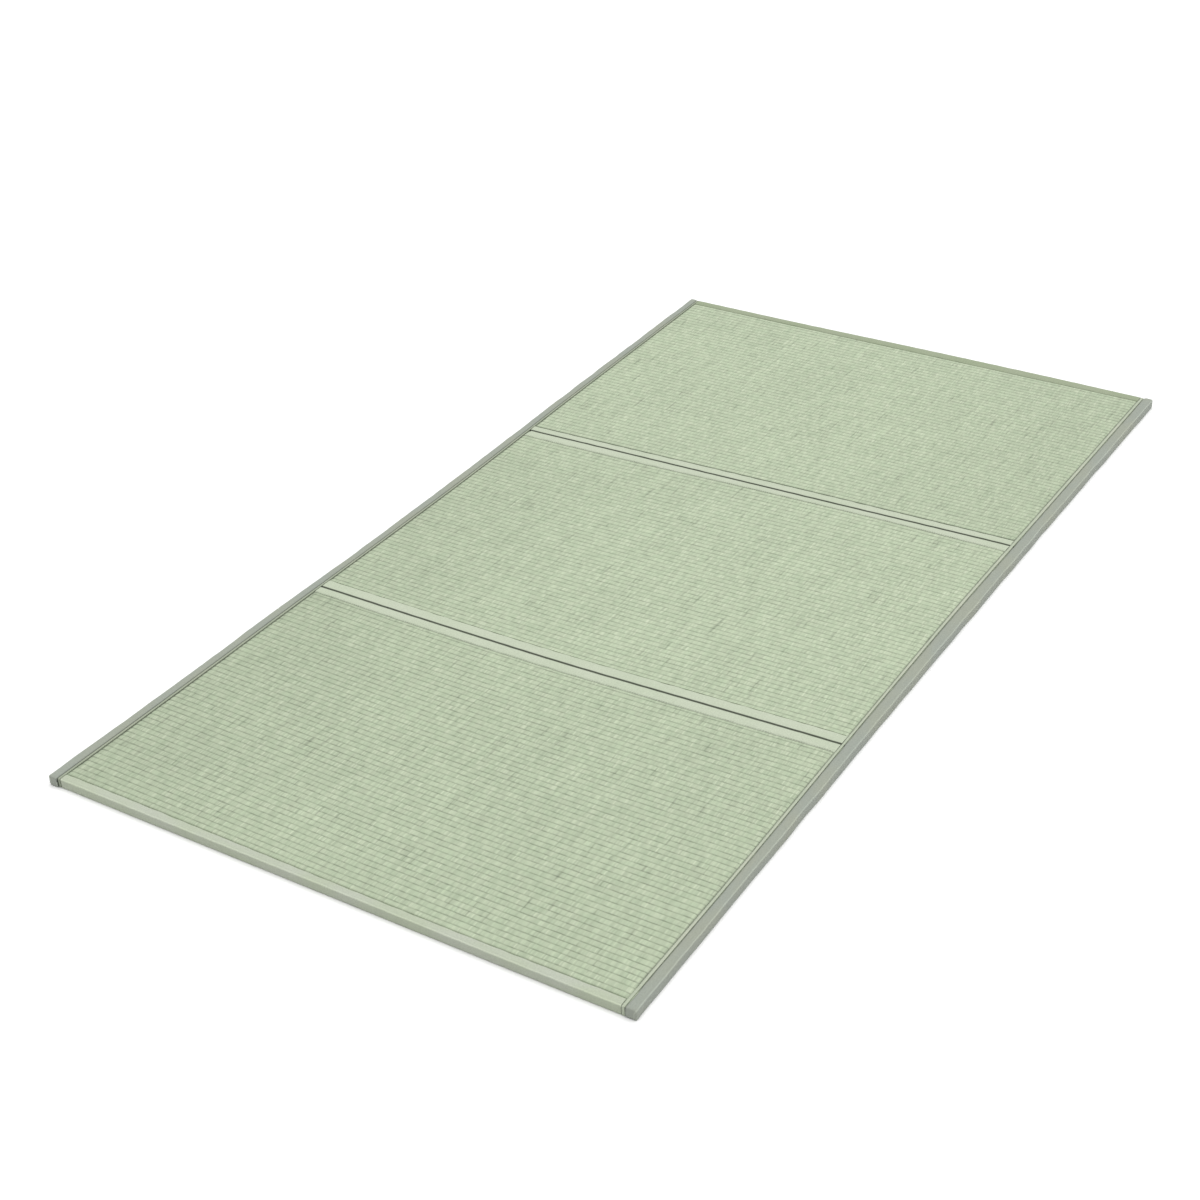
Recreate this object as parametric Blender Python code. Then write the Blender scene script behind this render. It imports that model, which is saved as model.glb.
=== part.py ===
"""Three-panel folding rush mat, lying open and flat.

Units are metres and +Z is up.  X runs across the mat, Y along it, and the origin is on the
floor under the middle.  The near end is at -Y.
"""
import math

import bmesh
import bpy
import numpy as np
from mathutils import Vector

# Moves the middle of the uneven outline onto the origin
CENTRING = (0.0012, 0.0031, 0.0)

# Heights
MAT_THICKNESS = 0.0170
RUSH_TOP = 0.0165
STRIP_TOP = 0.0162
END_BAND_TOP = 0.0166
FOLD_BAND_TOP = 0.0164

# Cloth
CLOTH = 0.0011
CLEARANCE = 0.0003
PAD_BEVEL = 0.0010
BINDING_RADIUS = 0.0026
FOLD_RADIUS = 0.0020
ARC_STEPS = 3
FOLD_GAP = 0.0018
CORNER_LAP = 0.0006
STRIP_FOOT = 0.0012

# Lines that run along the mat: X at each station of Y
ALONG_STATIONS = (-0.94, -0.65, -0.36, -0.25, 0.10, 0.45, 0.93)
LEFT_EDGE = (-0.5125, -0.5045, -0.5005, -0.4960, -0.4920, -0.4930, -0.4920)
LEFT_SEAM = (-0.4950, -0.4890, -0.4845, -0.4820, -0.4765, -0.4785, -0.4775)
LEFT_RUSH = (-0.4895, -0.4835, -0.4790, -0.4770, -0.4715, -0.4735, -0.4730)
RIGHT_RUSH = (0.4865, 0.4850, 0.4800, 0.4785, 0.4735, 0.4745, 0.4765)
RIGHT_SEAM = (0.4920, 0.4900, 0.4850, 0.4830, 0.4790, 0.4805, 0.4820)
RIGHT_EDGE = (0.5100, 0.5060, 0.5030, 0.5015, 0.4995, 0.4985, 0.5000)

# Lines that run across the mat: Y at each station of X
ACROSS_STATIONS = (-0.46, -0.25, 0.00, 0.25, 0.46)
NEAR_EDGE = (-0.9345, -0.9365, -0.9385, -0.9408, -0.9420)
NEAR_RUSH = (-0.9195, -0.9220, -0.9255, -0.9273, -0.9265)
FOLD_1_NEAR_RUSH = (-0.3410, -0.3458, -0.3460, -0.3388, -0.3315)
FOLD_1 = (-0.3230, -0.3245, -0.3235, -0.3155, -0.3085)
FOLD_1_FAR_RUSH = (-0.3010, -0.3025, -0.3015, -0.2935, -0.2865)
FOLD_2_NEAR_RUSH = (0.2785, 0.2840, 0.2960, 0.3045, 0.3060)
FOLD_2 = (0.3000, 0.3060, 0.3130, 0.3205, 0.3270)
FOLD_2_FAR_RUSH = (0.3180, 0.3250, 0.3335, 0.3403, 0.3455)
FAR_RUSH = (0.9170, 0.9165, 0.9155, 0.9150, 0.9150)
FAR_EDGE = (0.9345, 0.9335, 0.9360, 0.9360, 0.9330)

# Stations shared by the finished meshes, clear of every corner
ALONG_GRID = (-0.88, -0.80, -0.65, -0.50, -0.40, -0.25, -0.10, 0.10, 0.24, 0.40, 0.50, 0.65, 0.80,
              0.88)
ACROSS_GRID = (-0.44, -0.35, -0.25, -0.15, -0.05, 0.05, 0.15, 0.25, 0.35, 0.44)
SETTLE_STEPS = 6

# Colours, linear
RUSH_GREEN = (0.475, 0.555, 0.405)
BINDING_GREY = (0.400, 0.440, 0.370)
BAND_GREEN = (0.500, 0.560, 0.430)
STRIP_PALE = (0.560, 0.610, 0.500)


def clear_scene():
    for item in list(bpy.data.objects):
        bpy.data.objects.remove(item, do_unlink=True)


def cloth_material(name, colour, roughness):
    material = bpy.data.materials.new(name)
    material.use_nodes = True
    shader = material.node_tree.nodes["Principled BSDF"]
    shader.inputs["Base Color"].default_value = (*colour, 1.0)
    shader.inputs["Roughness"].default_value = roughness
    shader.inputs["Metallic"].default_value = 0.0
    return material


def smooth_value(stations, values, at):
    """Value of a line at one station, on a smooth curve through its table."""
    last = len(stations) - 1
    at = min(max(at, stations[0]), stations[last])
    span = 0
    while span < last - 1 and at > stations[span + 1]:
        span += 1

    def slope(index):
        before = max(index - 1, 0)
        after = min(index + 1, last)
        return (values[after] - values[before]) / (stations[after] - stations[before])

    length = stations[span + 1] - stations[span]
    t = (at - stations[span]) / length
    rise = values[span + 1] - values[span]
    ease = t * t * (3.0 - 2.0 * t)
    lead_in = t * (1.0 - t) ** 2 * length * slope(span)
    lead_out = t * t * (t - 1.0) * length * slope(span + 1)
    return values[span] + ease * rise + lead_in + lead_out


def faceted_line(stations, values, grid, shift):
    """The smooth line again, straight between the grid's stations so that all pieces agree."""
    knots = (stations[0], *grid, stations[-1])
    heights = [smooth_value(stations, values, knot) + shift for knot in knots]
    return lambda at: float(np.interp(at, knots, heights))


def along(values, shift=0.0):
    """A line that runs along the mat, as X from Y."""
    return faceted_line(ALONG_STATIONS, values, ALONG_GRID, shift)


def across(values, shift=0.0):
    """A line that runs across the mat, as Y from X."""
    return faceted_line(ACROSS_STATIONS, values, ACROSS_GRID, shift)


def corner(side, end):
    """Where a line along the mat meets a line across it."""
    x, y = 0.0, 0.0
    for _ in range(SETTLE_STEPS):
        y = end(x)
        x = side(y)
    return x, y


def between(grid, low, high):
    return [station for station in grid if low < station < high]


def outline(west, east, south, north, z):
    """Closed loop of points round four lines, at one height."""
    corners = [corner(west, south), corner(east, south), corner(east, north), corner(west, north)]
    south_side = [(x, south(x)) for x in between(ACROSS_GRID, corners[0][0], corners[1][0])]
    east_side = [(east(y), y) for y in between(ALONG_GRID, corners[1][1], corners[2][1])]
    north_side = [(x, north(x)) for x in between(ACROSS_GRID, corners[3][0], corners[2][0])]
    west_side = [(west(y), y) for y in between(ALONG_GRID, corners[0][1], corners[3][1])]
    loop = [corners[0], *south_side, corners[1], *east_side]
    loop += [corners[2], *north_side[::-1], corners[3], *west_side[::-1]]
    return [Vector((x, y, z)) for x, y in loop]


def add_ring(bm, points):
    return [bm.verts.new(point) for point in points]


def join_rings(bm, first, second):
    count = len(first)
    for index in range(count):
        after = (index + 1) % count
        bm.faces.new((first[index], first[after], second[after], second[index]))


def finish(name, bm, material):
    bmesh.ops.translate(bm, verts=bm.verts, vec=CENTRING)
    bmesh.ops.recalc_face_normals(bm, faces=bm.faces)
    mesh = bpy.data.meshes.new(name)
    bm.to_mesh(mesh)
    bm.free()
    mesh.materials.append(material)
    item = bpy.data.objects.new(name, mesh)
    bpy.context.scene.collection.objects.link(item)
    return item


def stacked_rings(name, rings, material):
    """A solid from rings of equal length, closed at the first and the last."""
    bm = bmesh.new()
    placed = [add_ring(bm, ring) for ring in rings]
    for first, second in zip(placed, placed[1:]):
        join_rings(bm, first, second)
    bm.faces.new(placed[0])
    bm.faces.new(placed[-1])
    return finish(name, bm, material)


def build_panel(name, south, north, rush_south, rush_north, material):
    """A filled pad whose rims are thinner where the cloth bands wrap it."""
    rim = CLOTH + CLEARANCE
    worn = rim + PAD_BEVEL
    side = (along(LEFT_EDGE, rim), along(RIGHT_EDGE, -rim), south, north)
    bevel = (along(LEFT_EDGE, worn), along(RIGHT_EDGE, -worn),
             lambda x: south(x) + PAD_BEVEL, lambda x: north(x) - PAD_BEVEL)
    rush = (along(LEFT_RUSH, CLEARANCE), along(RIGHT_RUSH, -CLEARANCE), rush_south, rush_north)
    underside = (along(LEFT_SEAM, CLEARANCE), along(RIGHT_SEAM, -CLEARANCE), rush_south, rush_north)
    shelf = STRIP_TOP - CLOTH - CLEARANCE
    rings = [
        outline(*underside, 0.0),
        outline(*underside, rim),
        outline(*bevel, rim),
        outline(*side, rim + PAD_BEVEL),
        outline(*side, shelf - PAD_BEVEL),
        outline(*bevel, shelf),
        outline(*rush, shelf),
        outline(*rush, RUSH_TOP),
    ]
    return stacked_rings(name, rings, material)


def tape_path(top, width, radius, inset):
    """Half of a folded tape's section, from the top flange's edge round to the bottom's.

    Each point is (distance in from the outer face, height); inset moves it into the cloth.
    """
    bend = radius - inset
    path = [(width, top - inset)]
    for step in range(ARC_STEPS + 1):
        turn = 0.5 * math.pi * step / ARC_STEPS
        path.append((radius - bend * math.sin(turn), top - radius + bend * math.cos(turn)))
    for step in range(ARC_STEPS + 1):
        turn = 0.5 * math.pi * step / ARC_STEPS
        path.append((radius - bend * math.cos(turn), radius - bend * math.sin(turn)))
    path.append((width, inset))
    return path


def tape_section(top, width, radius):
    outer = tape_path(top, width, radius, 0.0)
    inner = tape_path(top, width, radius, CLOTH)
    return outer, inner


def build_cross_tape(name, edge, rush, top, radius, material):
    """Cloth folded round a short edge of a panel, between the two side strips."""
    west = along(LEFT_RUSH, CLEARANCE)
    east = along(RIGHT_RUSH, -CLEARANCE)
    first, last = corner(west, edge)[0], corner(east, edge)[0]
    rings = []
    for x in (first, *between(ACROSS_GRID, first, last), last):
        start = edge(x)
        width = rush(x) - start
        facing = math.copysign(1.0, width)
        outer, inner = tape_section(top, abs(width), radius)
        section = outer + inner[::-1]
        rings.append([Vector((x, start + facing * inward, z)) for inward, z in section])
    return stacked_rings(name, rings, material)


def build_side_binding(name, edge, seam, near_end, far_end, material):
    """Cloth folded round a long edge of the mat and closed over its two corners."""
    bm = bmesh.new()
    near_y = corner(edge, near_end)[1]
    far_y = corner(edge, far_end)[1]
    stations = (near_y + CLOTH, *ALONG_GRID, far_y - CLOTH)

    def place(y, section):
        start = edge(y)
        facing = math.copysign(1.0, seam(y) - start)
        return [bm.verts.new((start + facing * inward, y, z)) for inward, z in section]

    def section_at(y):
        return tape_section(MAT_THICKNESS, abs(seam(y) - edge(y)), BINDING_RADIUS)

    rings = []
    for y in stations:
        outer, inner = section_at(y)
        rings.append((place(y, outer), place(y, inner)))
    for (outer_a, inner_a), (outer_b, inner_b) in zip(rings, rings[1:]):
        join_rings(bm, outer_a + inner_a[::-1], outer_b + inner_b[::-1])
    for y, (outer, inner) in ((near_y, rings[0]), (far_y, rings[-1])):
        cap_outer, cap_inner = section_at(y)
        cap = place(y, cap_outer + [cap_inner[-1], cap_inner[0]])
        join_rings(bm, cap, outer + [inner[-1], inner[0]])
        bm.faces.new(cap)
        bm.faces.new(inner)
    return finish(name, bm, material)


def strip_path(near_y, far_y, inset):
    """Side view of a strip laid on the mat and turned down over both ends."""
    bend = FOLD_RADIUS - inset
    top = STRIP_TOP - FOLD_RADIUS
    path = [(near_y + inset, STRIP_FOOT)]
    for step in range(ARC_STEPS + 1):
        turn = 0.5 * math.pi * step / ARC_STEPS
        path.append((near_y + FOLD_RADIUS - bend * math.cos(turn), top + bend * math.sin(turn)))
    path += [(y, STRIP_TOP - inset) for y in ALONG_GRID]
    for step in range(ARC_STEPS + 1):
        turn = 0.5 * math.pi * step / ARC_STEPS
        path.append((far_y - FOLD_RADIUS + bend * math.sin(turn), top + bend * math.cos(turn)))
    path.append((far_y - inset, STRIP_FOOT))
    return path


def build_side_strip(name, west, east, near_end, far_end, material):
    """Narrow ribbon between a side binding and the rush."""
    near_y = corner(west, near_end)[1]
    far_y = corner(west, far_end)[1]
    outer = strip_path(near_y, far_y, 0.0)
    inner = strip_path(near_y, far_y, CLOTH)
    rings = []
    for (outer_y, outer_z), (inner_y, inner_z) in zip(outer, inner):
        rings.append([
            Vector((west(outer_y), outer_y, outer_z)),
            Vector((east(outer_y), outer_y, outer_z)),
            Vector((east(outer_y), inner_y, inner_z)),
            Vector((west(outer_y), inner_y, inner_z)),
        ])
    return stacked_rings(name, rings, material)


def build_mat():
    rim = CLOTH + CLEARANCE
    half_gap = 0.5 * FOLD_GAP
    rush = cloth_material("woven_rush", RUSH_GREEN, 0.75)
    binding = cloth_material("binding_cloth", BINDING_GREY, 0.85)
    band = cloth_material("band_cloth", BAND_GREEN, 0.85)
    strip = cloth_material("strip_cloth", STRIP_PALE, 0.85)

    panels = (
        ("panel_near", across(NEAR_EDGE, rim), across(FOLD_1, -half_gap - rim),
         across(NEAR_RUSH, CLEARANCE), across(FOLD_1_NEAR_RUSH, -CLEARANCE)),
        ("panel_middle", across(FOLD_1, half_gap + rim), across(FOLD_2, -half_gap - rim),
         across(FOLD_1_FAR_RUSH, CLEARANCE), across(FOLD_2_NEAR_RUSH, -CLEARANCE)),
        ("panel_far", across(FOLD_2, half_gap + rim), across(FAR_EDGE, -rim),
         across(FOLD_2_FAR_RUSH, CLEARANCE), across(FAR_RUSH, -CLEARANCE)),
    )
    for name, south, north, rush_south, rush_north in panels:
        build_panel(name, south, north, rush_south, rush_north, rush)

    tapes = (
        ("end_binding_near", across(NEAR_EDGE), across(NEAR_RUSH), END_BAND_TOP, BINDING_RADIUS),
        ("end_binding_far", across(FAR_EDGE), across(FAR_RUSH), END_BAND_TOP, BINDING_RADIUS),
        ("fold_1_band_near", across(FOLD_1, -half_gap), across(FOLD_1_NEAR_RUSH),
         FOLD_BAND_TOP, FOLD_RADIUS),
        ("fold_1_band_far", across(FOLD_1, half_gap), across(FOLD_1_FAR_RUSH),
         FOLD_BAND_TOP, FOLD_RADIUS),
        ("fold_2_band_near", across(FOLD_2, -half_gap), across(FOLD_2_NEAR_RUSH),
         FOLD_BAND_TOP, FOLD_RADIUS),
        ("fold_2_band_far", across(FOLD_2, half_gap), across(FOLD_2_FAR_RUSH),
         FOLD_BAND_TOP, FOLD_RADIUS),
    )
    for name, edge, seam, top, radius in tapes:
        build_cross_tape(name, edge, seam, top, radius, band)

    near_corner = across(NEAR_EDGE, -CORNER_LAP)
    far_corner = across(FAR_EDGE, CORNER_LAP)
    build_side_binding("side_binding_left", along(LEFT_EDGE), along(LEFT_SEAM),
                       near_corner, far_corner, binding)
    build_side_binding("side_binding_right", along(RIGHT_EDGE), along(RIGHT_SEAM),
                       near_corner, far_corner, binding)
    build_side_strip("side_strip_left", along(LEFT_SEAM, CLEARANCE), along(LEFT_RUSH, -CLEARANCE),
                     across(NEAR_EDGE), across(FAR_EDGE), strip)
    build_side_strip("side_strip_right", along(RIGHT_RUSH, CLEARANCE), along(RIGHT_SEAM, -CLEARANCE),
                     across(NEAR_EDGE), across(FAR_EDGE), strip)


clear_scene()
build_mat()
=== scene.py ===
"""Three-panel folding rush mat, lying open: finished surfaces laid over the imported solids.

Metres, +Z up, X across the mat, Y along it.  Each piece is cut as a straight blank, then laid
onto the mat's slightly uneven lines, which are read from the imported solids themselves.
"""
import math

import bmesh
import bpy
import numpy as np
from mathutils import Matrix, Vector


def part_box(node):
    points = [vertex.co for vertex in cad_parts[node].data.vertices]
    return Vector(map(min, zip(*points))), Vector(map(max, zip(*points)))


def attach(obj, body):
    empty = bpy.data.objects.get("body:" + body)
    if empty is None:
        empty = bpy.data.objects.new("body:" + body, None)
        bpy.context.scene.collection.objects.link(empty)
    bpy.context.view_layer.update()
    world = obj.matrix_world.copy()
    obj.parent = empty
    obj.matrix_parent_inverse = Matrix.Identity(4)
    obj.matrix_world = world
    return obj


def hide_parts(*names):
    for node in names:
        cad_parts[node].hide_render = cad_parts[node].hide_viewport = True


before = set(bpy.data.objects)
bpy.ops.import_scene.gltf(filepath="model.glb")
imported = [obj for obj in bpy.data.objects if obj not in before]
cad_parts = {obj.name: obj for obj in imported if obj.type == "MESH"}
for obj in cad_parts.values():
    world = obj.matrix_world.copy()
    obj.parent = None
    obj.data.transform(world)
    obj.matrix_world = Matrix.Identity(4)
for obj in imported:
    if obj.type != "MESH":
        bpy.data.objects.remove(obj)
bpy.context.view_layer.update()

# View
LENS_MM = 66.486
SENSOR_MM = 36.0
VIEW_AZIMUTH = 33.559
VIEW_ELEVATION = 32.401
VIEW_ROLL = -3.0
VIEW_DISTANCE = 3.6534
VIEW_TARGET = (-0.05744, -0.11589, 0.0)
VIEW_CLIP = 200.0

# Light
SKY_COLOUR = (1.0, 1.0, 1.0)
SKY_STRENGTH = 0.42
OVERHEAD_STRENGTH = 2.72
OVERHEAD_SPREAD = 70.0
OVERHEAD_TILT = (-7.0, 5.0)
FLOOR_SIZE = 60.0
FLOOR_WHITE = 0.93

# Cloth: its thickness, the radius of its folds, and how finely a blank is cut
CLOTH = 0.0011
FOLD_RADIUS = 0.0020
BINDING_RADIUS = 0.0028
ARC_STEPS = 4
STATION = 0.008
TAPE_SPACING = (0.0026, STATION, 0.0040)
STRIP_SPACING = (0.0013, STATION, 0.0040)
CLOTH_SMOOTH_ANGLE = 48.0
ON_TOP = 0.6  # share of the height above which cloth lies on the face
FAR_FROM_SEAM = 1.0  # stands for a place that no seam shades or pulls down

# How far the cloth strays from a plain fold
TAPE_SEAM_REACH = 0.0022
BINDING_PUFF, BINDING_SLACK = 0.0004, 0.00022
BINDING_SWAY, BINDING_SEAM_WANDER = 0.0005, 0.00035
BINDING_SLACK_FROM = -0.2  # share of the way from the fold to the seam
TAPE_PUFF, TAPE_SLACK, TAPE_SEAM_WANDER = 0.00025, 0.00018, 0.00030
FLAT_SEAM_SHARE = 0.2  # of the usual dip
CORNER_REACH = 0.020
STRIP_PUFF, STRIP_SLACK, STRIP_WANDER = 0.0003, 0.0002, 0.00025
STRIP_FROM_FOLD = 0.01  # keeps the painted highlight and shade of a fold off the ribbons

# Rush pads
RIM_ROOM = 0.0014
SHELF_ROOM = 0.0006
SEAT_ROOM = 0.0006
RIB_DEPTH = 0.00085
# places of the rows across one rib, from groove to groove
RIB_PHASES = (0.0, 0.055, 0.14, 0.28, 0.50, 0.72, 0.86, 0.945)
RIB_PITCH = 0.0106
RIB_ROUNDNESS = 0.62
RIB_LEVEL = 0.62
RUSH_COLUMNS = 192
RUSH_SMOOTH_ANGLE = 60.0
STRAND_RISE = 0.00009
GROOVE_RISE = 0.00006
GROOVE_PHASE = 0.01
STRAND_WANDER = 0.00022
WANDER_FROM_SEAM = 0.004
PAD_SWELL = 0.00012
SEAM_DIP = 0.0011
SEAM_REACH = 0.0034
BACKING_BELOW = -3.5  # depth in the blank past which a face is backing cloth

# Stitches
STITCH_PITCH = 0.0042
STITCH_HALF_SIZE = (0.00034, 0.00155, 0.00028)
STITCH_STRAY_ACROSS, STITCH_STRAY_ALONG = 0.00008, 0.00012
STITCH_HEIGHT, SIDE_STITCH_HEIGHT = 0.0161, 0.0162
STITCH_INSET = 0.0019
SIDE_STITCH_INSET = {"left": 0.0020, "right": 0.0014}
STITCH_END_ROOM, SIDE_STITCH_END_ROOM = 0.002, 0.004

# Gaps and laps between the pieces, and what is particular to one of them
BINDING_SEAM_GAP = {"left": 0.0006, "right": 0.0014}
STRIP_GAP = {"left": 0.0012, "right": 0.0006}
STRIP_SEAM_GAP = 0.0002
TAPE_RUSH_GAP = 0.0003
TAPE_END_GAP = 0.0004
NEAR_LAP = {"left": 0.0022, "right": 0.0008}
FAR_LAP = 0.0008
RUSH_GAP = {"left": 0.0003, "right": 0.0003, "near_rush": 0.0004, "fold_1_near_rush": 0.0004,
            "fold_1_far_rush": 0.0002, "fold_2_near_rush": 0.0004, "fold_2_far_rush": 0.0003,
            "far_rush": 0.0003}
CORNER_PULL = {"tape_fold_2_near": 0.0045}
FLAT_SEAMS = ("fold_1_far_rush",)
RIB_OFFSET = {"rush_near": 0.0, "rush_middle": 100.0, "rush_far": 200.0}

# Weave
STRANDS_PER_METRE = 455.0
YARN_WAVES = 6600.0
BUMP_DISTANCE = 0.001

random = np.random.default_rng(41)


# ---------------------------------------------------------------- lines read from the solids
def solid_points(node):
    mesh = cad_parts[node].data
    points = np.empty(len(mesh.vertices) * 3)
    mesh.vertices.foreach_get("co", points)
    return points.reshape(-1, 3)


class Line:
    """A smooth line along one edge of a solid: its place across, from the place along.

    Points closer along than MERGE make one station, and a station with few points is skipped.
    """

    MERGE = 0.003
    WHOLE = 0.9

    def __init__(self, node, axis, side):
        points = solid_points(node)
        points = points[points[:, axis].argsort()]
        breaks = np.flatnonzero(np.diff(points[:, axis]) > self.MERGE) + 1
        groups = np.split(points, breaks)
        whole = self.WHOLE * np.median([len(group) for group in groups])
        groups = [group for group in groups if len(group) > whole]
        pick = np.max if side > 0 else np.min
        self.stations = np.array([group[:, axis].mean() for group in groups])
        self.values = np.array([pick(group[:, 1 - axis]) for group in groups])
        before = np.maximum(np.arange(len(groups)) - 1, 0)
        after = np.minimum(np.arange(len(groups)) + 1, len(groups) - 1)
        rise = self.values[after] - self.values[before]
        self.slopes = rise / (self.stations[after] - self.stations[before])
        self.mean = float(self.values.mean())

    def __call__(self, at):
        at = np.clip(at, self.stations[0], self.stations[-1])
        span = np.clip(np.searchsorted(self.stations, at) - 1, 0, len(self.stations) - 2)
        length = self.stations[span + 1] - self.stations[span]
        t = (at - self.stations[span]) / length
        rise = self.values[span + 1] - self.values[span]
        ease = t * t * (3.0 - 2.0 * t)
        lead_in = t * (1.0 - t) ** 2 * length * self.slopes[span]
        lead_out = t * t * (t - 1.0) * length * self.slopes[span + 1]
        return self.values[span] + ease * rise + lead_in + lead_out


class Chart:
    """Lays straight blanks onto the mat: straight (across, along) becomes the uneven place."""

    RIGID = 0.004
    SETTLE_STEPS = 5

    def __init__(self):
        x_line = {
            "left_edge": Line("side_binding_left", 1, -1),
            "left_seam": Line("side_binding_left", 1, 1),
            "left_rush": Line("side_strip_left", 1, 1),
            "right_rush": Line("side_strip_right", 1, -1),
            "right_seam": Line("side_binding_right", 1, -1),
            "right_edge": Line("side_binding_right", 1, 1),
        }
        y_line = {
            "near_edge": Line("end_binding_near", 0, -1),
            "near_rush": Line("end_binding_near", 0, 1),
            "fold_1_near_rush": Line("fold_1_band_near", 0, -1),
            "fold_1_near": Line("fold_1_band_near", 0, 1),
            "fold_1_far": Line("fold_1_band_far", 0, -1),
            "fold_1_far_rush": Line("fold_1_band_far", 0, 1),
            "fold_2_near_rush": Line("fold_2_band_near", 0, -1),
            "fold_2_near": Line("fold_2_band_near", 0, 1),
            "fold_2_far": Line("fold_2_band_far", 0, -1),
            "fold_2_far_rush": Line("fold_2_band_far", 0, 1),
            "far_rush": Line("end_binding_far", 0, -1),
            "far_edge": Line("end_binding_far", 0, 1),
        }
        self.across = {name: line.mean for name, line in x_line.items()}
        self.along = {name: line.mean for name, line in y_line.items()}
        inward = {"left_edge": 1, "right_edge": -1, "near_edge": 1, "far_edge": -1,
                  "fold_1_near": -1, "fold_1_far": 1, "fold_2_near": -1, "fold_2_far": 1}
        self.x_knots = self.with_margins(x_line, inward)
        self.y_knots = self.with_margins(y_line, inward)

    def with_margins(self, lines, inward):
        """Adds a margin that keeps its true width beside each folded edge."""
        knots = [(line.mean, line, 0.0) for line in lines.values()]
        for name, sign in inward.items():
            if name in lines:
                shift = sign * self.RIGID
                knots.append((lines[name].mean + shift, lines[name], shift))
        return sorted(knots, key=lambda knot: knot[0])

    @staticmethod
    def read(knots, straight, other):
        nominal = np.array([knot[0] for knot in knots])
        placed = np.array([line(other) + shift for _, line, shift in knots])
        span = np.clip(np.searchsorted(nominal, straight) - 1, 0, len(knots) - 2)
        t = (straight - nominal[span]) / (nominal[span + 1] - nominal[span])
        column = np.arange(len(straight))
        return placed[span, column] * (1.0 - t) + placed[span + 1, column] * t

    def place(self, straight):
        x, y = straight[:, 0].copy(), straight[:, 1].copy()
        for _ in range(self.SETTLE_STEPS):
            x = self.read(self.x_knots, straight[:, 0], y)
            y = self.read(self.y_knots, straight[:, 1], x)
        return np.column_stack((x, y, straight[:, 2]))


chart = Chart()
X, Y = chart.across, chart.along


class Ripple:
    """Soft unevenness: a few long waves in random directions."""

    def __init__(self, length, waves=7):
        turn = random.uniform(0.0, 2.0 * math.pi, waves)
        stretch = random.uniform(0.6, 1.7, waves) * 2.0 * math.pi / length
        self.waves = np.column_stack((np.cos(turn), np.sin(turn))) * stretch[:, None]
        self.offsets = random.uniform(0.0, 2.0 * math.pi, waves)

    def __call__(self, points):
        return np.sin(points[:, :2] @ self.waves.T + self.offsets).mean(axis=1) * 2.0


# ---------------------------------------------------------------- shader expressions
class Wire:
    """One output of a node. Arithmetic on it adds Math nodes."""

    def __init__(self, looks, socket):
        self.looks, self.socket = looks, socket

    def math(self, operation, *values):
        inputs = dict(enumerate(values))
        return self.looks.node("ShaderNodeMath", {"operation": operation}, inputs)

    def __add__(self, other):
        return self.math("ADD", self, other)

    def __sub__(self, other):
        return self.math("SUBTRACT", self, other)

    def __mul__(self, other):
        return self.math("MULTIPLY", self, other)

    def __rsub__(self, other):
        return self.math("SUBTRACT", other, self)

    __radd__ = __add__
    __rmul__ = __mul__

    def floor(self):
        return self.math("FLOOR", self)

    def fraction(self):
        return self.math("FRACT", self)

    def sine(self):
        return self.math("SINE", self)

    def smaller(self, other):
        return self.math("MINIMUM", self, other)

    def swing(self, amount):
        """How far a noise is from its middle, times an amount."""
        return (self - 0.5) * amount

    def ease(self, start, end):
        """0 before start, 1 after end, smooth between."""
        settings = {"interpolation_type": "SMOOTHSTEP"}
        inputs = {"Value": self, "From Min": start, "From Max": end}
        return self.looks.node("ShaderNodeMapRange", settings, inputs)


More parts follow.
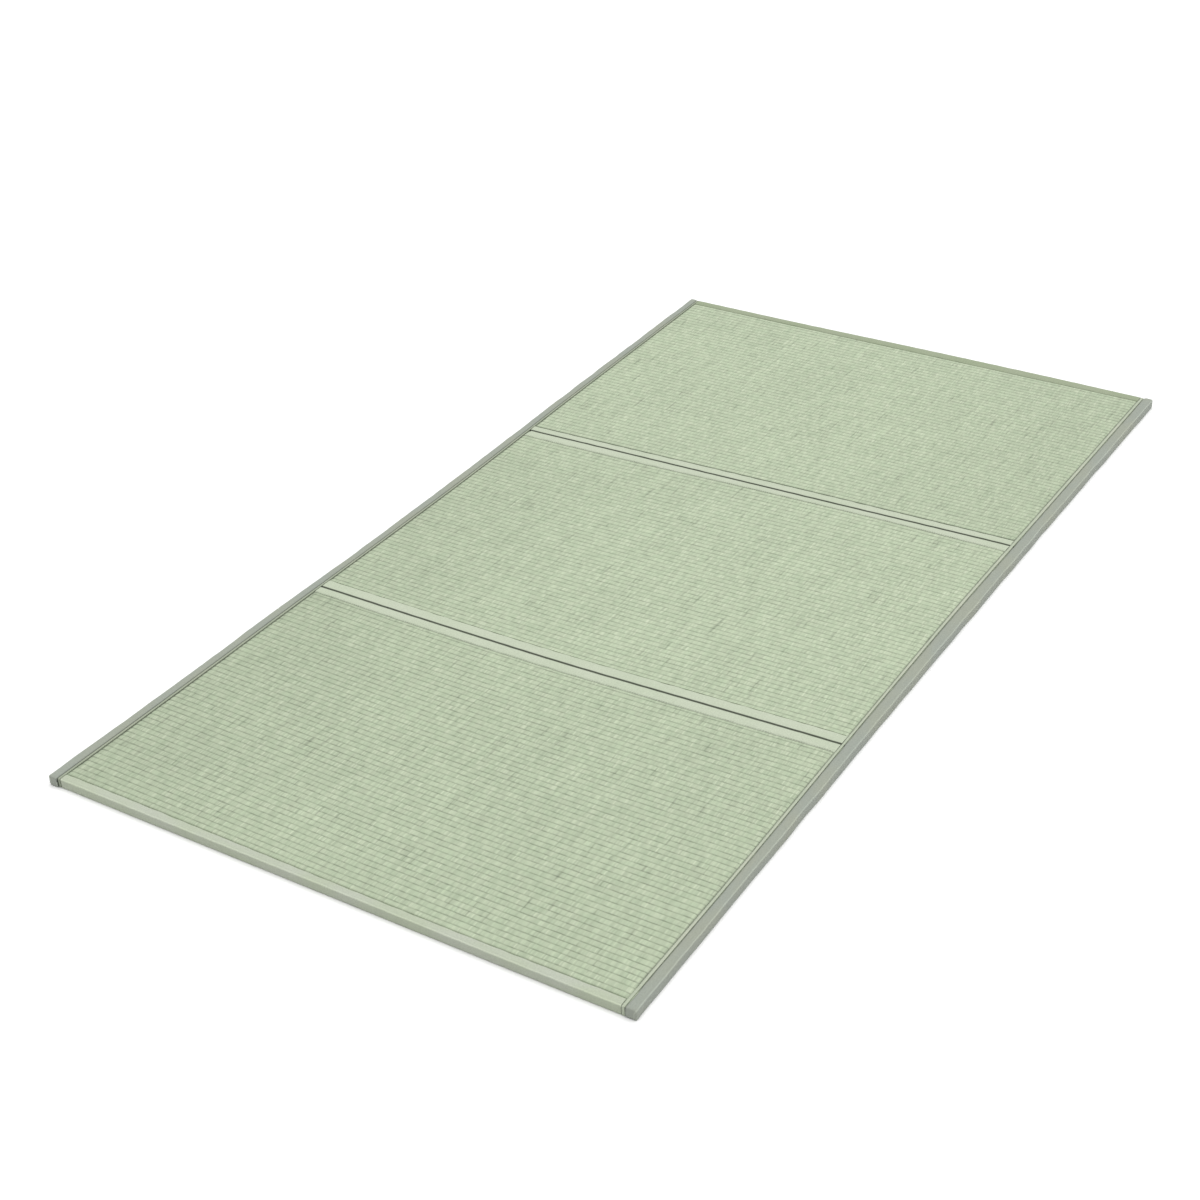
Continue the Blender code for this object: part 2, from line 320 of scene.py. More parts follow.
class Looks:
    """A material under construction."""

    def __init__(self, name, roughness, **constants):
        self.material = bpy.data.materials.new(name)
        self.material.use_nodes = True
        self.tree = self.material.node_tree
        self.shader = self.tree.nodes["Principled BSDF"]
        self.shader.inputs["Roughness"].default_value = roughness
        for socket, value in constants.items():
            self.shader.inputs[socket.replace("_", " ")].default_value = value

    def node(self, kind, settings=None, inputs=None, output=0):
        made = self.tree.nodes.new(kind)
        for key, value in (settings or {}).items():
            setattr(made, key, value)
        for key, value in (inputs or {}).items():
            if isinstance(value, Wire):
                self.tree.links.new(value.socket, made.inputs[key])
            else:
                made.inputs[key].default_value = value
        return Wire(self, made.outputs[output])

    def lay(self):
        """The piece's own straight coordinates, as three numbers."""
        vector = self.node("ShaderNodeAttribute", {"attribute_name": "lay"}, output="Vector")
        apart = self.node("ShaderNodeSeparateXYZ", None, {0: vector})
        outputs = apart.socket.node.outputs
        return [Wire(self, outputs[index]) for index in range(3)]

    def join(self, x, y):
        return self.node("ShaderNodeCombineXYZ", None, {0: x, 1: y, 2: 0.0})

    def noise(self, place, detail, rough):
        inputs = {"Vector": place, "Scale": 1.0, "Detail": detail, "Roughness": rough}
        return self.node("ShaderNodeTexNoise", {"noise_dimensions": "3D"}, inputs)

    def patches(self, x, per_x, y, per_y, detail=2.0, rough=0.5):
        """Noise with its own count of patches for each unit of two coordinates."""
        return self.noise(self.join(x * per_x, y * per_y), detail, rough)

    def chance(self, place):
        """A random number for each whole-numbered place."""
        settings = {"noise_dimensions": "3D"}
        return self.node("ShaderNodeTexWhiteNoise", settings, {"Vector": place})

    def mix(self, amount, first, second):
        first, second = [(*c, 1.0) if isinstance(c, tuple) else c for c in (first, second)]
        settings = {"data_type": "RGBA", "blend_type": "MIX"}
        return self.node("ShaderNodeMix", settings, {0: amount, 6: first, 7: second}, output=2)

    def shade(self, colour, tone):
        """The colour times a number."""
        settings = {"operation": "SCALE"}
        return self.node("ShaderNodeVectorMath", settings, {0: colour, "Scale": tone})

    def finish(self, colour, height, roughness=None):
        self.tree.links.new(colour.socket, self.shader.inputs["Base Color"])
        inputs = {"Height": height, "Distance": BUMP_DISTANCE, "Strength": 1.0}
        normal = self.node("ShaderNodeBump", None, inputs)
        self.tree.links.new(normal.socket, self.shader.inputs["Normal"])
        if roughness is not None:
            self.tree.links.new(roughness.socket, self.shader.inputs["Roughness"])
        return self.material


def woven_rush():
    """Ribs of rush: lay is (metres across, rib number, metres in from the nearest seam)."""
    looks = Looks("woven_rush", 0.62, Specular_IOR_Level=0.35)
    across, rib, inside = looks.lay()
    row = rib.floor()
    phase = rib.fraction()
    from_groove = phase.smaller(1.0 - phase)
    groove_line = (rib + 0.5).floor()

    # strands run across the ribs, each passing over and under them in turn
    wander = looks.patches(across, 22.0, rib, 0.22, detail=1.0)
    strand_place = across * STRANDS_PER_METRE + wander * 1.6 + row * 0.5
    strand = strand_place.floor()
    beside = strand_place.fraction()
    strand_gap = 1.0 - beside.smaller(1.0 - beside).ease(0.02, 0.26)

    short = looks.chance(looks.join(strand, row))
    bundle = looks.patches(across, 120.0, row, 5.3)
    long_strand = looks.patches(across, 300.0, rib, 0.07)
    broad = looks.patches(across, 7.0, rib, 0.075)
    dash = looks.patches(across, 75.0, groove_line, 7.7)
    run = looks.patches(across, 150.0, rib, 0.16, detail=1.0)

    dash_amount = dash.ease(0.34, 0.68) * 0.50 + 0.45
    groove = (1.0 - from_groove.ease(0.02, 0.17)) * dash_amount
    streak = run.ease(0.60, 0.74) * short.ease(0.35, 0.6)
    seam_shade = (1.0 - inside.ease(0.0002, 0.0026)) * (rib.ease(0.6, 2.0) * 0.33 + 0.12)
    # Painted light and shade: the rush is painted lighter further along the mat, darker
    # towards the left of the near and middle panels and darker towards the right of the far
    # panel.
    painted_shade_left = (1.0 - across.ease(-0.45, -0.05)) * (1.0 - rib.ease(110.0, 250.0))
    painted_shade_right = across.ease(0.10, 0.45) * rib.ease(150.0, 230.0)

    tone = 1.0 + short.swing(0.16) + bundle.swing(0.22) + long_strand.swing(0.34)
    tone = tone + broad.swing(0.12)
    tone = tone * (1.03 + rib.ease(0.0, 130.0) * 0.06)
    tone = tone * (1.0 - painted_shade_left * 0.075) * (1.0 - painted_shade_right * 0.05)
    # Painted shade: darker in the grooves between ribs, in broken dashes along them, and in
    # the narrow gaps between strands.
    tone = tone * (1.0 - groove * 0.42) * (1.0 - strand_gap * 0.13)
    tone = tone * (1.0 - streak * 0.30) * (1.0 - seam_shade)

    hue = looks.patches(across, 60.0, rib, 0.5, detail=3.0)
    green = looks.mix(hue.ease(0.3, 0.7), (0.390, 0.462, 0.323), (0.418, 0.479, 0.343))
    pale = looks.mix(short.ease(0.86, 1.0) * 0.25, green, (0.520, 0.545, 0.430))
    round_top = 1.0 - (beside - 0.5) * (beside - 0.5) * 4.0
    height = round_top * 0.16 + short * 0.09 + bundle * 0.25 - groove * 0.15
    rough = 0.55 + bundle * 0.2
    return looks.finish(looks.shade(pale, tone), height, roughness=rough)


def backing_cloth():
    """Plain cloth under the panels."""
    looks = Looks("backing_cloth", 0.9, Specular_IOR_Level=0.2)
    place = looks.node("ShaderNodeTexCoord", output="Object")
    fibre, cloud = (
        looks.node("ShaderNodeTexNoise", None,
                   {"Vector": place, "Scale": scale, "Detail": detail})
        for scale, detail in ((900.0, 3.0), (14.0, 2.0)))
    tone = 0.9 + fibre.swing(0.3) + cloud.swing(0.2)
    colour = looks.mix(cloud, (0.375, 0.425, 0.335), (0.42, 0.46, 0.37))
    return looks.finish(looks.shade(colour, tone), fibre * 0.3)


def tape_cloth(name, first, second, edge_light, seam_shade, dashes):
    """Plain woven tape: lay is (metres across from its fold, along it, and to its seam)."""
    looks = Looks(name, 0.88, Specular_IOR_Level=0.2, Sheen_Weight=0.15, Sheen_Roughness=0.6)
    across, along, seam = looks.lay()
    weave = (across * YARN_WAVES).sine() * (along * YARN_WAVES).sine()
    thick_weft = looks.patches(across, 40.0, along, 1500.0, detail=1.0)
    thick_warp = looks.patches(across, 1500.0, along, 40.0, detail=1.0)
    fleck = looks.patches(across, 420.0, along, 420.0, detail=3.0, rough=0.7)
    patch = looks.patches(across, 20.0, along, 9.0)
    # Painted light at the folded edge of the tape: a painted highlight where edge_light is
    # positive, painted shade in a fold's crease where it is negative.
    from_fold = across.math("ABSOLUTE", across + 0.0002)
    fold_edge_light_and_shade = 1.0 - from_fold.ease(0.0006, 0.0024)
    dash = (along * (2.0 * math.pi / STITCH_PITCH)).sine().ease(-0.5, 0.6)
    by_seam = (1.0 - seam.ease(0.0002, 0.0016)) * (1.0 - dash * dashes)

    tone = 1.0 + weave * 0.035 + thick_weft.swing(0.16) + thick_warp.swing(0.16)
    tone = tone + fleck.swing(0.56)
    tone = tone * (1.0 + fold_edge_light_and_shade * edge_light) * (1.0 - by_seam * seam_shade)
    colour = looks.mix(patch.ease(0.36, 0.64), first, second)
    height = weave * 0.05 + (thick_weft + thick_warp) * 0.10 + fleck * 0.14
    return looks.finish(looks.shade(colour, tone), height)


def thread_finish():
    """Pale twisted sewing thread."""
    looks = Looks("stitch_thread", 0.8, Sheen_Weight=0.1)
    place = looks.node("ShaderNodeTexCoord", output="Object")
    twist = looks.node("ShaderNodeTexNoise", None, {"Vector": place, "Scale": 1400.0})
    colour = looks.mix(twist, (0.30, 0.36, 0.25), (0.44, 0.50, 0.38))
    return looks.finish(colour, twist * 0.2)


# ---------------------------------------------------------------- straight blanks
SAME_PLACE = 1e-6
SAME_WAY = 0.999
PARALLEL = 1e-4


def divide(bm, axis, spacing):
    """Cuts every edge that runs along an axis into lengths of about the spacing."""
    groups = {}
    for edge in bm.edges:
        run = edge.verts[1].co - edge.verts[0].co
        cuts = round(run.length / spacing) - 1
        if cuts > 0 and abs(run[axis]) > SAME_WAY * run.length:
            groups.setdefault(cuts, []).append(edge)
    for cuts, edges in groups.items():
        bmesh.ops.subdivide_edges(bm, edges=edges, cuts=cuts, use_grid_fill=True)


def soften(bm, edges, radius):
    """Rounds the edges where cloth bends."""
    bmesh.ops.bevel(bm, geom=edges, offset=radius, segments=ARC_STEPS, profile=0.5,
                    affect="EDGES", material=-1)


def thicken(bm, inner_point):
    """Gives the cloth its thickness on the side of a point inside the fold."""
    bmesh.ops.recalc_face_normals(bm, faces=bm.faces)
    face = max(bm.faces, key=lambda item: item.calc_area())
    inwards = Vector(inner_point) - face.calc_center_median()
    if face.normal.dot(inwards) > 0.0:
        bmesh.ops.reverse_faces(bm, faces=bm.faces)
    bmesh.ops.solidify(bm, geom=bm.faces[:], thickness=CLOTH)
    bmesh.ops.recalc_face_normals(bm, faces=bm.faces)


def bent_cloth(path, run, spacing, inner_point):
    """Cloth drawn from a bent path of points along a run, rounded at its bends."""
    bm = bmesh.new()
    points = [bm.verts.new(point) for point in path]
    edges = [bm.edges.new(pair) for pair in zip(points, points[1:])]
    bends = [points[index].co.copy() for index in range(1, len(points) - 1)]
    drawn = bmesh.ops.extrude_edge_only(bm, edges=edges)
    moved = [item for item in drawn["geom"] if isinstance(item, bmesh.types.BMVert)]
    bmesh.ops.translate(bm, verts=moved, vec=run)
    run = Vector(run)
    folds = []
    for edge in bm.edges:
        line = edge.verts[1].co - edge.verts[0].co
        along_run = line.normalized().cross(run.normalized()).length < PARALLEL
        low = min((vert.co for vert in edge.verts), key=lambda co: co.dot(run))
        if along_run and any((low - bend).length < SAME_PLACE for bend in bends):
            folds.append(edge)
    soften(bm, folds, FOLD_RADIUS)
    for axis in range(3):
        divide(bm, axis, spacing[axis])
    thicken(bm, inner_point)
    return bm


def folded_tape(width, height, length):
    """C-section tape: x is in from its fold, y along it."""
    path = ((width, 0.0, 0.0), (0.0, 0.0, 0.0), (0.0, 0.0, height), (width, 0.0, height))
    inner = (0.5 * width, 0.5 * length, 0.5 * height)
    return bent_cloth(path, (0.0, length, 0.0), TAPE_SPACING, inner)


def laid_strip(width, length, top, foot):
    """Ribbon turned down over both ends: x is across it, y along it."""
    path = ((0.0, 0.0, foot), (0.0, 0.0, top), (0.0, length, top), (0.0, length, foot))
    inner = (0.5 * width, 0.5 * length, 0.0)
    return bent_cloth(path, (width, 0.0, 0.0), STRIP_SPACING, inner)


def closed_binding(width, height, length):
    """Tape folded round a long edge and closed over both ends, open on its inner side."""
    bm = bmesh.new()
    bmesh.ops.create_cube(bm, size=1.0)
    bmesh.ops.translate(bm, verts=bm.verts, vec=(0.5, 0.5, 0.5))
    bmesh.ops.scale(bm, verts=bm.verts, vec=(width, length, height))
    open_side = [face for face in bm.faces if face.normal.x > 0.9]
    bmesh.ops.delete(bm, geom=open_side, context="FACES_ONLY")
    folds = [edge for edge in bm.edges if min(vert.co.x for vert in edge.verts) < SAME_PLACE]
    soften(bm, folds, BINDING_RADIUS)
    for axis in (1, 0, 2):
        divide(bm, axis, TAPE_SPACING[axis])
    thicken(bm, (0.5 * width, 0.5 * length, 0.5 * height))
    return bm


# ---------------------------------------------------------------- laying the blanks
slack = Ripple(0.035)
drift = Ripple(0.16)
sway = Ripple(0.09)


def lay_piece(name, bm, to_straight, lay_values, materials, smooth_angle=CLOTH_SMOOTH_ANGLE):
    """Moves a blank to its place on the mat and keeps its straight coordinates as lay."""
    mesh = bpy.data.meshes.new(name)
    bm.to_mesh(mesh)
    bm.free()
    blank = np.empty(len(mesh.vertices) * 3)
    mesh.vertices.foreach_get("co", blank)
    blank = blank.reshape(-1, 3)
    placed = chart.place(to_straight(blank))
    mesh.vertices.foreach_set("co", placed.ravel())
    attribute = mesh.attributes.new("lay", "FLOAT_VECTOR", "POINT")
    attribute.data.foreach_set("vector", lay_values(blank).astype(np.float32).ravel())
    mesh.update()
    turned = bmesh.new()
    turned.from_mesh(mesh)
    bmesh.ops.recalc_face_normals(turned, faces=turned.faces)
    turned.to_mesh(mesh)
    turned.free()
    mesh.shade_smooth()
    mesh.set_sharp_from_angle(angle=math.radians(smooth_angle))
    for material in materials:
        mesh.materials.append(material)
    piece = bpy.data.objects.new(name, mesh)
    bpy.context.scene.collection.objects.link(piece)
    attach(piece, "root")
    return piece


def node_top(node):
    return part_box(node)[1].z


def bump_between(share):
    """0 at both ends, 1 in the middle."""
    return np.sin(np.pi * np.clip(share, 0.0, 1.0))


def upper_flange(z, height):
    """0 on the lower half of a fold, 1 on its upper flange."""
    return np.clip((z / height - 0.5) * 4.0, 0.0, 1.0)


def sewn_down(inward, width):
    """0 on most of a flange, 1 at its seam."""
    return np.clip((inward - width + TAPE_SEAM_REACH) / TAPE_SEAM_REACH, 0.0, 1.0) ** 2


def tape_lay(blank, width, height, radius):
    """Straight coordinates of folded tape: across from its fold, along, and to its seam."""
    inward, along, z = blank.T
    across = np.where(inward > radius, inward, inward - (height - z))
    to_seam = np.where(z > ON_TOP * height, width - inward, FAR_FROM_SEAM)
    return np.column_stack((across, along, to_seam))


def build_binding(side, material):
    """Side binding; the cloth is puffed between its fold and its seam."""
    node = f"side_binding_{side}"
    sign = 1.0 if side == "left" else -1.0
    edge, seam = X[f"{side}_edge"], X[f"{side}_seam"]
    width = abs(seam - edge) - BINDING_SEAM_GAP[side]
    low, high = Y["near_edge"] - NEAR_LAP[side], Y["far_edge"] + FAR_LAP
    length, height = high - low, node_top(node)

    def to_straight(blank):
        inward, along, z = blank.T
        share = (inward - BINDING_RADIUS) / (width - BINDING_RADIUS)
        to_seam = np.clip(share, 0.0, 1.0)
        upper = upper_flange(z, height)
        p = edge + sign * inward
        q = low + along
        flat = np.column_stack((p, q))
        loose = BINDING_SLACK * slack(flat) * (share > BINDING_SLACK_FROM)
        z = z + upper * (BINDING_PUFF * bump_between(share) + loose)
        z = z - upper * SEAM_DIP * sewn_down(inward, width)
        p = p - sign * (1.0 - to_seam) * BINDING_SWAY * sway(flat)
        p = p + sign * to_seam * BINDING_SEAM_WANDER * slack(flat)
        return np.column_stack((p, q, z))

    def lay_values(blank):
        return tape_lay(blank, width, height, BINDING_RADIUS)

    blank = closed_binding(width, height, length)
    piece = lay_piece(f"binding_{side}", blank, to_straight, lay_values, [material])
    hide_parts(node)
    2.0 * width + height
    length + height


def build_cross_tape(name, node, edge_name, rush_name, material):
    """Tape folded round a short edge of a panel."""
    edge, rush = Y[edge_name], Y[rush_name]
    sign = math.copysign(1.0, rush - edge)
    width = abs(rush - edge) - TAPE_RUSH_GAP
    west, east = X["left_rush"] + TAPE_END_GAP, X["right_rush"] - TAPE_END_GAP
    height = node_top(node)
    seam_dip = FLAT_SEAM_SHARE * SEAM_DIP if rush_name in FLAT_SEAMS else SEAM_DIP

    def to_straight(blank):
        inward, along, z = blank.T
        share = (inward - FOLD_RADIUS) / (width - FOLD_RADIUS)
        upper = upper_flange(z, height)
        by_end = np.clip(1.0 - along / CORNER_REACH, 0.0, 1.0) ** 2
        by_fold = np.clip(1.0 - inward / CORNER_REACH, 0.0, 1.0)
        p = west + along + CORNER_PULL.get(name, 0.0) * (by_end * by_fold)
        q = edge + sign * inward
        flat = np.column_stack((p, q))
        z = z + upper * (TAPE_PUFF * bump_between(share) + TAPE_SLACK * slack(flat))
        z = z - upper * seam_dip * sewn_down(inward, width)
        q = q + sign * np.clip(share, 0.0, 1.0) * TAPE_SEAM_WANDER * slack(flat)
        return np.column_stack((p, q, z))

    def lay_values(blank):
        return tape_lay(blank, width, height, FOLD_RADIUS)

    blank = folded_tape(width, height, east - west)
    piece = lay_piece(name, blank, to_straight, lay_values, [material])
    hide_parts(node)
    2.0 * width + height
    east - west


def build_strip(side, material):
    """Narrow ribbon beside the rush."""
    node = f"side_strip_{side}"
    seam, rush = X[f"{side}_seam"], X[f"{side}_rush"]
    sign = math.copysign(1.0, rush - seam)
    width = abs(rush - seam) - STRIP_GAP[side]
    start = seam + sign * STRIP_SEAM_GAP
    low, high = Y["near_edge"], Y["far_edge"]
    top = node_top(node)
    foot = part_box(node)[0].z

    def to_straight(blank):
        inward, along, z = blank.T
        p = start + sign * inward
        q = low + along
        flat = np.column_stack((p, q))
        share = inward / width
        rise = STRIP_PUFF * bump_between(share) + STRIP_SLACK * slack(flat)
        z = z + (z > ON_TOP * top) * rise
        p = p + STRIP_WANDER * slack(flat)
        return np.column_stack((p, q, z))

    def lay_values(blank):
        inward, along, z = blank.T
        return np.column_stack((inward + STRIP_FROM_FOLD, along + (top - z), width - inward))

    blank = laid_strip(width, high - low, top, foot)
    piece = lay_piece(f"strip_{side}", blank, to_straight, lay_values, [material])
    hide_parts(node)
    return piece


def build_panel(name, node, south, north, outer_south, outer_north, first_groove, last_groove,
                materials):
    """Rush pad: ribbed face, rims under the bindings, plain underside.

    The blank is a unit grid, one row for each step across a rib, with the rims and the
    underside as rings that hang one unit below each other, so its depth is its level.
    """
    west, east = X["left_rush"] + RUSH_GAP["left"], X["right_rush"] - RUSH_GAP["right"]
    low, high = Y[south] + RUSH_GAP[south], Y[north] - RUSH_GAP[north]
    top = node_top(node)
    length = high - low
    ribbed = length - first_groove - last_groove
    pitch_count = round(ribbed / RIB_PITCH)
    pitch = ribbed / pitch_count
    start, end = -first_groove / pitch, pitch_count + last_groove / pitch
    rows = [start, end]
    for rib in range(math.floor(start), math.ceil(end)):
        rows += [rib + phase for phase in RIB_PHASES if start < rib + phase < end]
    rows = np.array(sorted(rows))
    count = len(rows)

    # (west, east, south, north, height) of the face, the rims and the underside
    shelf = top - CLOTH - SHELF_ROOM
    reach = (X["left_edge"] + RIM_ROOM, X["right_edge"] - RIM_ROOM,
             Y[outer_south] + RIM_ROOM, Y[outer_north] - RIM_ROOM)
    seat = (X["left_seam"] + SEAT_ROOM, X["right_seam"] - SEAT_ROOM, low, high)
    outlines = (
        (west, east, low, high, top),
        (west, east, low, high, shelf),
        (*reach, shelf),
        (*reach, RIM_ROOM),
        (*seat, RIM_ROOM),
        (*seat, 0.0),
    )

    bm = bmesh.new()
    bmesh.ops.create_grid(bm, x_segments=RUSH_COLUMNS, y_segments=count - 1, size=0.5)
    edges = [edge for edge in bm.edges if edge.is_boundary]
    for _ in outlines[1:]:
        ring = bmesh.ops.extrude_edge_only(bm, edges=edges)["geom"]
        edges = [item for item in ring if isinstance(item, bmesh.types.BMEdge)]
        edges = [edge for edge in edges if edge.is_boundary]
        moved = {vert for edge in edges for vert in edge.verts}
        bmesh.ops.translate(bm, verts=list(moved), vec=(0.0, 0.0, -1.0))
    bmesh.ops.contextual_create(bm, geom=edges)
    for face in bm.faces:
        face.material_index = int(min(vert.co.z for vert in face.verts) < BACKING_BELOW)

    bundle = random.normal(0.0, 1.0, (count, RUSH_COLUMNS + 1))
    rib_index = np.floor(rows).astype(int) - math.floor(start)
    by_rib = random.normal(0.0, 1.0, (rib_index.max() + 2, RUSH_COLUMNS + 1))
    by_rib = 0.5 * by_rib + 0.25 * (np.roll(by_rib, 1, 1) + np.roll(by_rib, -1, 1))

    def inside_seams(p, q):
        """Distance in from the nearest seam that is sewn down."""
        from_south = q - low + (FAR_FROM_SEAM if south in FLAT_SEAMS else 0.0)
        return np.minimum(np.minimum(p - west, east - p), np.minimum(from_south, high - q))

    def unpack(blank):
        """Level, column and row of each point, and its place on the ribbed face."""
        level = np.rint(-blank[:, 2]).astype(int)
        s, t = blank[:, 0] + 0.5, blank[:, 1] + 0.5
        row = np.rint(t * (count - 1)).astype(int)
        column = np.rint(s * RUSH_COLUMNS).astype(int)
        share = (rows[row] - start) / (end - start)
        return level, column, row, west + s * (east - west), low + share * length

    def to_straight(blank):
        level, column, row, inner_p, inner_q = unpack(blank)
        boxes = np.array(outlines)[level]
        p = np.where(column == RUSH_COLUMNS, boxes[:, 1], inner_p)
        p = np.where(column == 0, boxes[:, 0], p)
        q = np.where(row == count - 1, boxes[:, 3], inner_q)
        q = np.where(row == 0, boxes[:, 2], q)
        face = level == 0
        phase = rows[row] % 1.0
        crown = np.sin(np.pi * phase) ** RIB_ROUNDNESS
        rough = by_rib[rib_index[row], column]
        relief = RIB_DEPTH * (crown - RIB_LEVEL) + STRAND_RISE * rough * crown
        relief = relief + GROOVE_RISE * bundle[row, column] * (phase < GROOVE_PHASE)
        inside = inside_seams(p, q)
        dip = SEAM_DIP * (1.0 - np.clip(inside / SEAM_REACH, 0.0, 1.0)) ** 2
        z = boxes[:, 4] + face * (relief - dip)
        z = z + face * PAD_SWELL * drift(np.column_stack((p, q)))
        q = q + face * (inside > WANDER_FROM_SEAM) * STRAND_WANDER * rough
        return np.column_stack((p, q, z))

    def lay_values(blank):
        level, _, row, inner_p, inner_q = unpack(blank)
        inside = np.where(level == 0, inside_seams(inner_p, inner_q), 0.0)
        return np.column_stack((inner_p, rows[row] + RIB_OFFSET[name], inside))

    piece = lay_piece(name, bm, to_straight, lay_values, materials, RUSH_SMOOTH_ANGLE)
    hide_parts(node)


def build_stitches(name, rows, material):
    """Rows of short stitches; a row is (runs across the mat?, line, from, to, height)."""
    bm = bmesh.new()
    bmesh.ops.create_uvsphere(bm, u_segments=6, v_segments=4, radius=1.0)
    bmesh.ops.rotate(bm, verts=bm.verts, matrix=Matrix.Rotation(math.radians(90.0), 3, "X"))
    single = bpy.data.meshes.new("single_stitch")
    bm.to_mesh(single)
    bm.free()
    shape = np.array([vert.co for vert in single.vertices])
    made = bmesh.new()
    for runs_across, line, low, high, height in rows:
        count = int((high - low) / STITCH_PITCH)
        base = len(made.verts)
        for _ in range(count):
            made.from_mesh(single)
        at = low + (np.arange(count) + 0.5) * STITCH_PITCH
        at = at + random.normal(0.0, STITCH_STRAY_ALONG, count)
        across = np.full(count, line) + random.normal(0.0, STITCH_STRAY_ACROSS, count)
        centre = np.column_stack((across, at, np.full(count, height)))
        local = centre[:, None, :] + shape[None, :, :] * STITCH_HALF_SIZE
        local = local.reshape(-1, 3)
        if runs_across:
            local = local[:, [1, 0, 2]]
        made.verts.ensure_lookup_table()
        for index, place in enumerate(local):
            made.verts[base + index].co = place

    piece = lay_piece(name, made, lambda blank: blank, np.zeros_like, [material])


# ---------------------------------------------------------------- the mat
def build_mat():
    rush = [woven_rush(), backing_cloth()]
    # Positive edge light paints a highlight along the folded outer edge of the bindings and
    # end tapes.
    side = tape_cloth("side_tape", (0.296, 0.325, 0.280), (0.310, 0.333, 0.270),
                      edge_light=0.30, seam_shade=0.50, dashes=0.1)
    ribbon_cloth = {
        # The left ribbon is painted darker than the right one: painted shade, as that ribbon
        # lies in shadow beside its seam.
        "left": tape_cloth("ribbon_left_painted_shade", (0.30, 0.34, 0.25), (0.33, 0.36, 0.27),
                           edge_light=0.0, seam_shade=0.35, dashes=0.6),
        "right": tape_cloth("ribbon_right", (0.41, 0.46, 0.35), (0.45, 0.48, 0.38),
                            edge_light=0.0, seam_shade=0.38, dashes=0.8),
    }
    near = tape_cloth("near_end_tape", (0.420, 0.468, 0.352), (0.440, 0.474, 0.388),
                      edge_light=0.30, seam_shade=0.06, dashes=0.6)
    far = tape_cloth("far_end_tape", (0.286, 0.338, 0.218), (0.304, 0.348, 0.238),
                     edge_light=0.05, seam_shade=0.30, dashes=0.3)
    # Negative edge light paints shade into the crease of each fold.
    fold = tape_cloth("fold_tape", (0.460, 0.518, 0.390), (0.480, 0.530, 0.410),
                      edge_light=-0.80, seam_shade=0.34, dashes=0.4)
    plain_fold = tape_cloth("plain_fold_tape", (0.460, 0.518, 0.390), (0.480, 0.530, 0.410),
                            edge_light=-0.80, seam_shade=0.03, dashes=0.0)

    build_panel("rush_near", "panel_near", "near_rush", "fold_1_near_rush", "near_edge",
                "fold_1_near", 0.0090, 0.0067, rush)
    build_panel("rush_middle", "panel_middle", "fold_1_far_rush", "fold_2_near_rush",
                "fold_1_far", "fold_2_near", 0.0080, 0.0100, rush)
    build_panel("rush_far", "panel_far", "fold_2_far_rush", "far_rush", "fold_2_far",
                "far_edge", 0.0100, 0.0085, rush)
    for name in ("left", "right"):
        ribbon = build_strip(name, ribbon_cloth[name])
        build_binding(name, side)
    for end, cloth in (("near", near), ("far", far)):
        build_cross_tape(f"tape_{end}_end", f"end_binding_{end}",
                         f"{end}_edge", f"{end}_rush", cloth)
    bands = (("1", "near", fold), ("1", "far", plain_fold),
             ("2", "near", fold), ("2", "far", fold))
    for number, end, cloth in bands:
        edge = f"fold_{number}_{end}"
        build_cross_tape(f"tape_{edge}", f"fold_{number}_band_{end}",
                         edge, f"{edge}_rush", cloth)

    thread = thread_finish()
    across = (X["left_rush"] + STITCH_END_ROOM, X["right_rush"] - STITCH_END_ROOM)
    along = (Y["near_edge"] + SIDE_STITCH_END_ROOM, Y["far_edge"] - SIDE_STITCH_END_ROOM)
    build_stitches("stitches_ends", [
        (True, Y["near_rush"] - STITCH_INSET, *across, STITCH_HEIGHT),
        (True, Y["far_rush"] + STITCH_INSET, *across, STITCH_HEIGHT)], thread)
    build_stitches("stitches_folds", [
        (True, Y["fold_1_near_rush"] + STITCH_INSET, *across, STITCH_HEIGHT),
        (True, Y["fold_2_near_rush"] + STITCH_INSET, *across, STITCH_HEIGHT),
        (True, Y["fold_2_far_rush"] - STITCH_INSET, *across, STITCH_HEIGHT)], thread)
    build_stitches("stitches_sides", [
        (False, X["left_rush"] - SIDE_STITCH_INSET["left"], *along, SIDE_STITCH_HEIGHT),
        (False, X["right_rush"] + SIDE_STITCH_INSET["right"], *along, SIDE_STITCH_HEIGHT),
    ], thread)


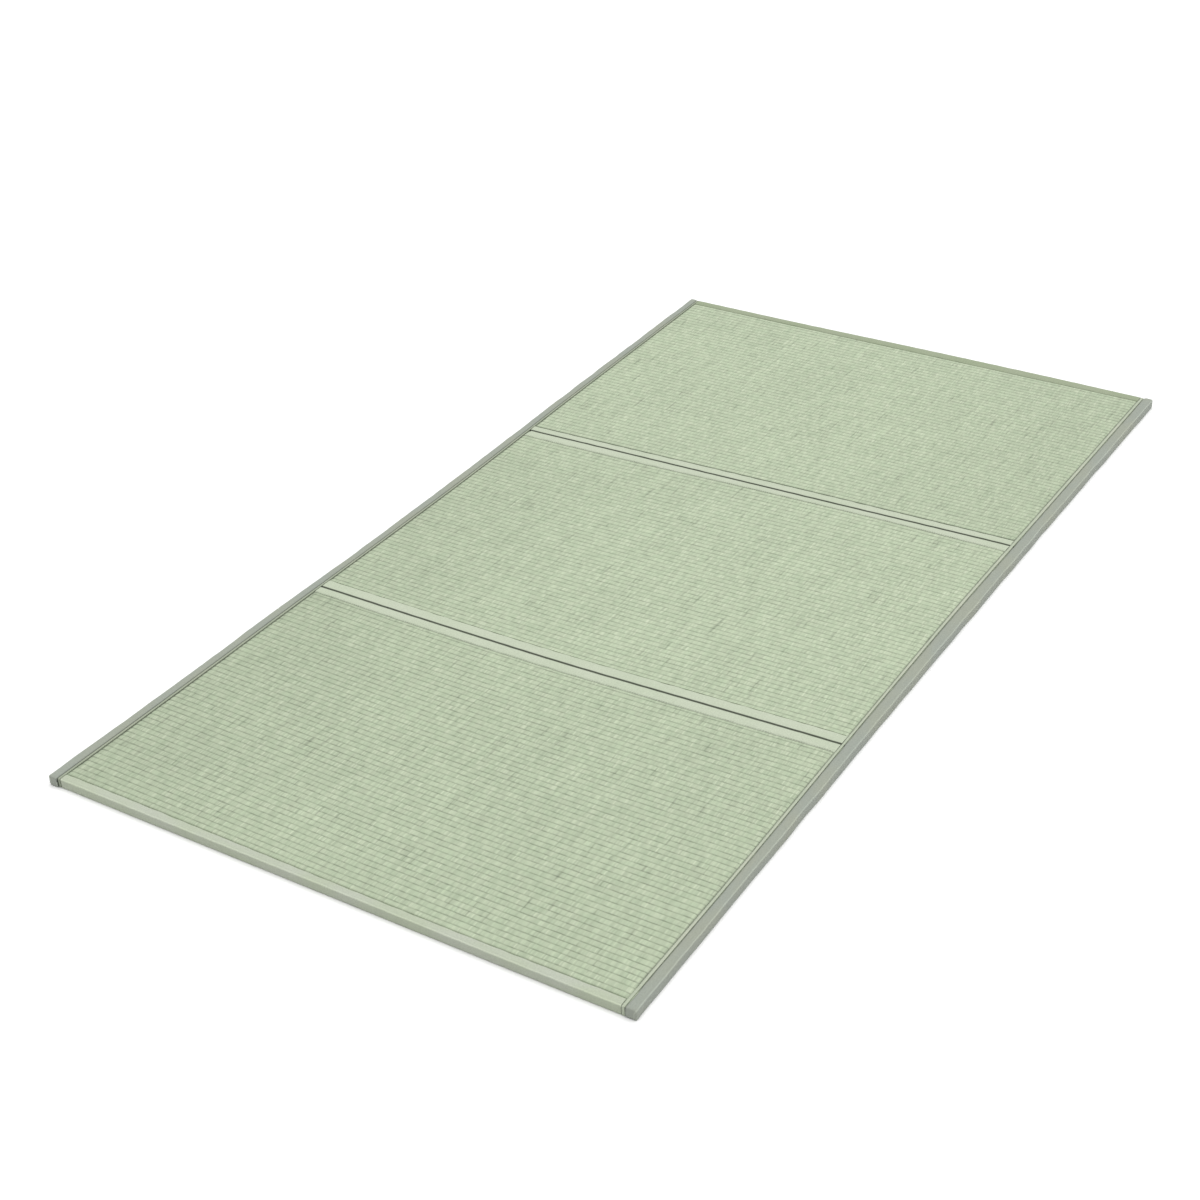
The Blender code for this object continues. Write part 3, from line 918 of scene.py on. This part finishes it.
# ---------------------------------------------------------------- studio
def build_studio():
    """Pale floor, even sky and one broad light from above."""
    bm = bmesh.new()
    bmesh.ops.create_grid(bm, x_segments=1, y_segments=1, size=0.5 * FLOOR_SIZE)
    mesh = bpy.data.meshes.new("floor")
    bm.to_mesh(mesh)
    bm.free()
    looks = Looks("pale_floor", 0.9, Specular_IOR_Level=0.1)
    looks.shader.inputs["Base Color"].default_value = (*(FLOOR_WHITE,) * 3, 1.0)
    mesh.materials.append(looks.material)
    floor = bpy.data.objects.new("floor", mesh)
    bpy.context.scene.collection.objects.link(floor)

    world = bpy.data.worlds.new("studio")
    world.use_nodes = True
    sky = world.node_tree.nodes["Background"]
    sky.inputs["Color"].default_value = (*SKY_COLOUR, 1.0)
    sky.inputs["Strength"].default_value = SKY_STRENGTH
    bpy.context.scene.world = world

    light = bpy.data.lights.new("overhead", "SUN")
    light.energy = OVERHEAD_STRENGTH
    light.angle = math.radians(OVERHEAD_SPREAD)
    lamp = bpy.data.objects.new("overhead", light)
    lamp.rotation_euler = [math.radians(angle) for angle in (*OVERHEAD_TILT, 0.0)]
    bpy.context.scene.collection.objects.link(lamp)


def build_camera():
    """Camera that looks at the target from its azimuth, elevation and roll."""
    azimuth, elevation, roll = (math.radians(angle)
                                for angle in (VIEW_AZIMUTH, VIEW_ELEVATION, VIEW_ROLL))
    back = Vector((math.sin(azimuth) * math.cos(elevation),
                   -math.cos(azimuth) * math.cos(elevation), math.sin(elevation)))
    level = Vector((math.cos(azimuth), math.sin(azimuth), 0.0))
    rise = back.cross(level)
    right = level * math.cos(roll) + rise * math.sin(roll)
    up = rise * math.cos(roll) - level * math.sin(roll)
    camera = bpy.data.objects.new("camera", bpy.data.cameras.new("camera"))
    camera.data.lens = LENS_MM
    camera.data.sensor_width = SENSOR_MM
    camera.data.clip_end = VIEW_CLIP
    place = Matrix((right, up, back)).transposed().to_4x4()
    place.translation = Vector(VIEW_TARGET) + back * VIEW_DISTANCE
    camera.matrix_world = place
    bpy.context.scene.collection.objects.link(camera)
    bpy.context.scene.camera = camera


build_camera()
build_mat()
build_studio()
bpy.context.scene.view_settings.view_transform = "Standard"
